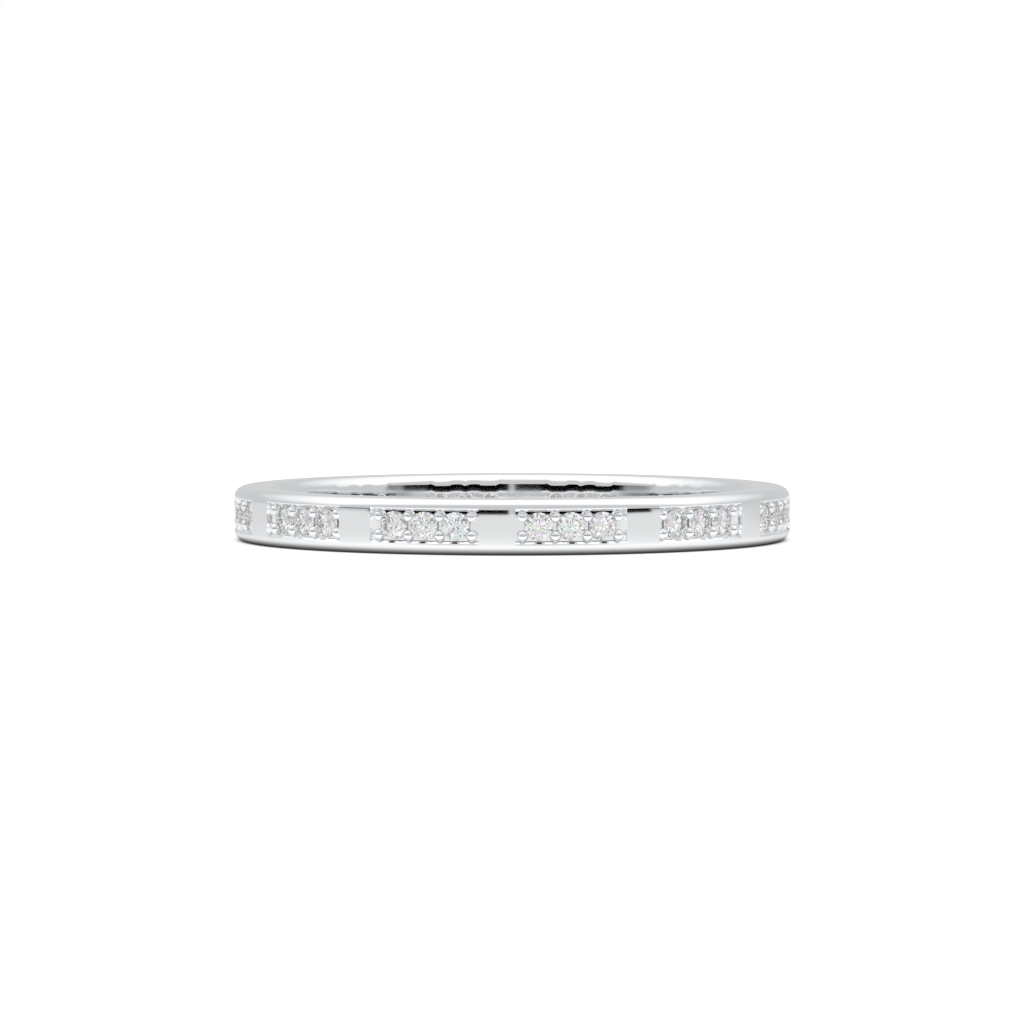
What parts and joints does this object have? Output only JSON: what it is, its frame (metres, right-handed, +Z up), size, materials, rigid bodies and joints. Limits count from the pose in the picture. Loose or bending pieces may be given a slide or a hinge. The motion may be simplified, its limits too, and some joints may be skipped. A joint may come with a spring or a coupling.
{
  "type": "diamond wedding band",
  "caption": "Polished white-metal band lying on its side, with recessed panels of small round brilliants held by shared beads, set between plain bars.",
  "frame": {"origin": "centre of the ring's axis, at the lower rim on which it lies", "axes": "+Z up along the finger hole's axis; -Y faces the picture's camera; +X to the camera's right"},
  "size_m": [0.0207, 0.0206, 0.002],
  "materials": {
    "metal": "polished white gold, mirror bright",
    "diamond": "clear, flat polished facets"
  },
  "bodies": {
    "root": {"band": "metal", "stone_01": "diamond", "stone_02": "diamond", "stone_03": "diamond", "stone_04": "diamond", "stone_05": "diamond", "stone_06": "diamond", "stone_07": "diamond", "stone_08": "diamond", "stone_09": "diamond", "stone_10": "diamond", "stone_11": "diamond", "stone_12": "diamond", "stone_13": "diamond", "stone_14": "diamond", "stone_15": "diamond", "stone_16": "diamond", "stone_17": "diamond", "stone_18": "diamond", "stone_19": "diamond", "stone_20": "diamond", "stone_21": "diamond", "stone_22": "diamond", "stone_23": "diamond", "stone_24": "diamond", "stone_25": "diamond", "stone_26": "diamond", "stone_27": "diamond", "stone_28": "diamond", "stone_29": "diamond", "stone_30": "diamond", "stone_31": "diamond", "stone_32": "diamond", "stone_33": "diamond", "stone_34": "diamond", "stone_35": "diamond", "stone_36": "diamond"}
  },
  "joints": []
}
